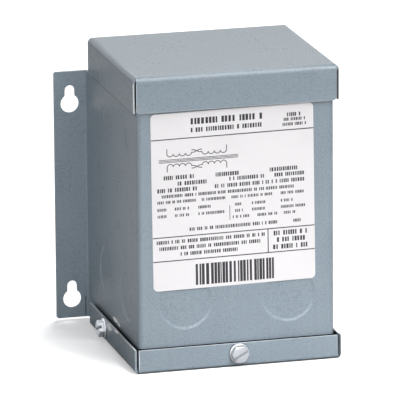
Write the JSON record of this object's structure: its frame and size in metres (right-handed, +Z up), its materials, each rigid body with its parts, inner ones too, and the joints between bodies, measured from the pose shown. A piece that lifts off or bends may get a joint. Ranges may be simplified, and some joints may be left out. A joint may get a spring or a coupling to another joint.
{
  "type": "isolation transformer",
  "caption": "Small wall-mounted isolation transformer in a folded sheet case with keyhole ears, folded lid and bottom pan, round knockouts and a blank nameplate.",
  "frame": {"origin": "bottom centre of the part's box, on the underside of the bottom pan", "axes": "+Z up, front facing -Y, +X to the right when seen from the front"},
  "size_m": [0.1124, 0.0936, 0.1252],
  "materials": {
    "paint": "satin",
    "zinc": "satin",
    "plate": "satin",
    "resin": "matte",
    "core_steel": "satin",
    "bobbin": "matte",
    "copper": "satin"
  },
  "bodies": {
    "root": {"case_wrap": "paint", "back_panel": "paint", "top_cover": "paint", "bottom_cover": "paint", "front_left_knockout": "paint", "front_right_knockout": "paint", "left_front_knockout": "paint", "left_rear_knockout": "paint", "right_front_knockout": "paint", "right_rear_knockout": "paint", "front_cover_screw": "zinc", "left_cover_screw": "zinc", "right_cover_screw": "zinc", "nameplate": "plate", "resin_fill": "resin", "laminated_core": "core_steel", "winding_bobbin": "bobbin", "primary_winding": "copper", "secondary_winding": "copper"}
  },
  "joints": []
}
